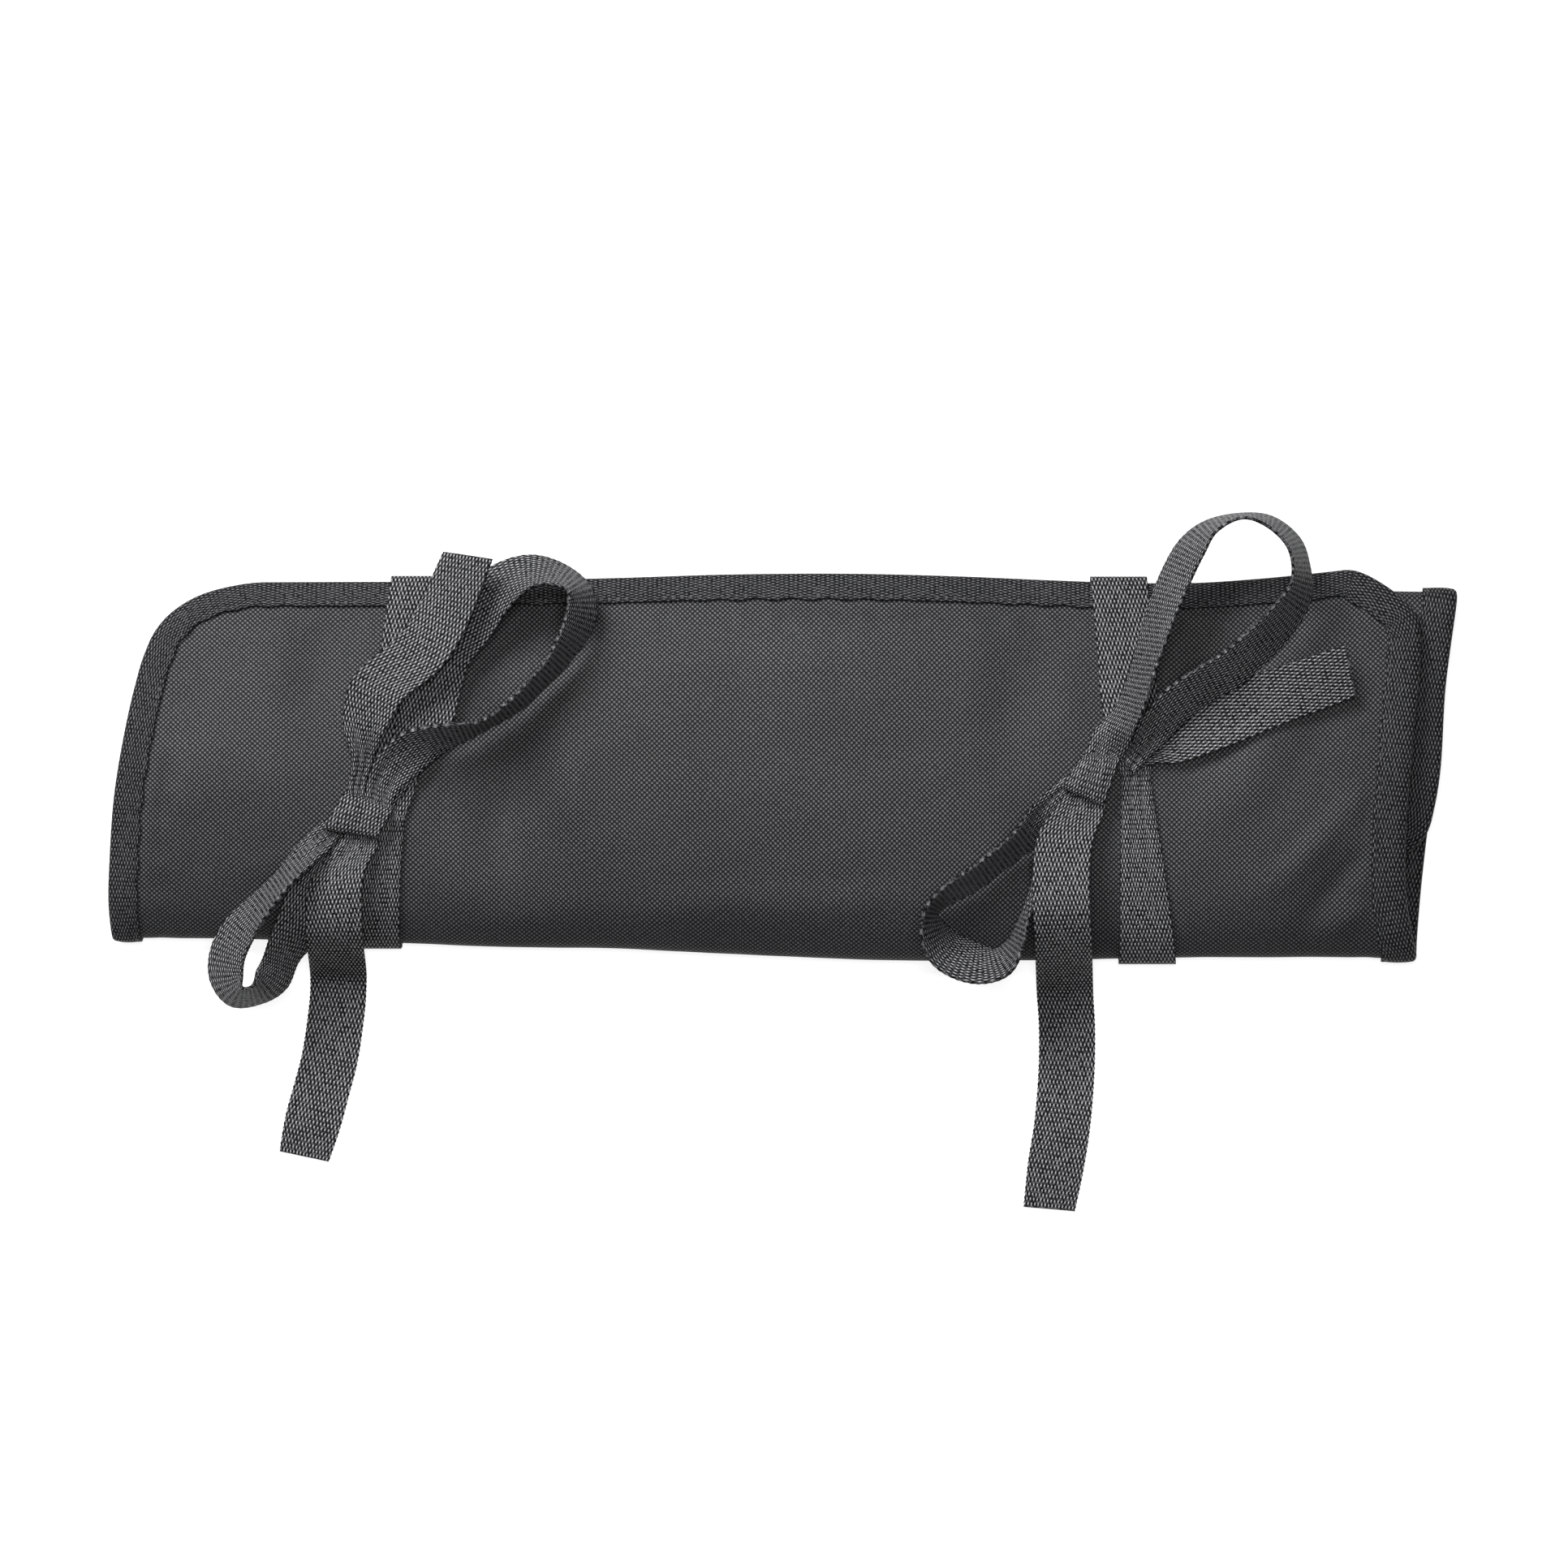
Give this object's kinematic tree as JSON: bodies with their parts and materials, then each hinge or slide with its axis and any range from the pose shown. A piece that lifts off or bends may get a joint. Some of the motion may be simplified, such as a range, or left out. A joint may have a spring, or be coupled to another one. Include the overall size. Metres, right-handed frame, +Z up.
{
  "type": "chef knife roll",
  "caption": "Black canvas knife roll, rolled flat and lying closed, its edge bound in tape, tied round with webbing bows whose loops and tails lie over the roll and the table.",
  "frame": {"origin": "on the flat underside of the canvas, under the middle of the roll, on the surface that it lies on", "axes": "+X along the roll towards the end where the inner lap sticks out, +Y towards the bound free edge of the flap, +Z up; the folded front edge faces -Y"},
  "size_m": [0.5057, 0.2619, 0.0497],
  "materials": {
    "canvas": "matt plain-woven polyester canvas, charcoal black",
    "binding_tape": "fine ribbed black polyester tape with a slight sheen",
    "tie_webbing": "plain-woven black polyester webbing with a slight sheen"
  },
  "bodies": {
    "root": {"canvas_panel": "canvas", "edge_binding": "binding_tape", "left_tie_band": "tie_webbing", "left_tie_knot": "tie_webbing", "left_tie_upper_loop": "tie_webbing", "left_tie_lower_loop": "tie_webbing", "left_tie_upper_tail": "tie_webbing", "left_tie_lower_tail": "tie_webbing", "right_tie_band": "tie_webbing", "right_tie_knot": "tie_webbing", "right_tie_upper_loop": "tie_webbing", "right_tie_lower_loop": "tie_webbing", "right_tie_side_tail": "tie_webbing", "right_tie_lower_tail": "tie_webbing"}
  },
  "joints": []
}
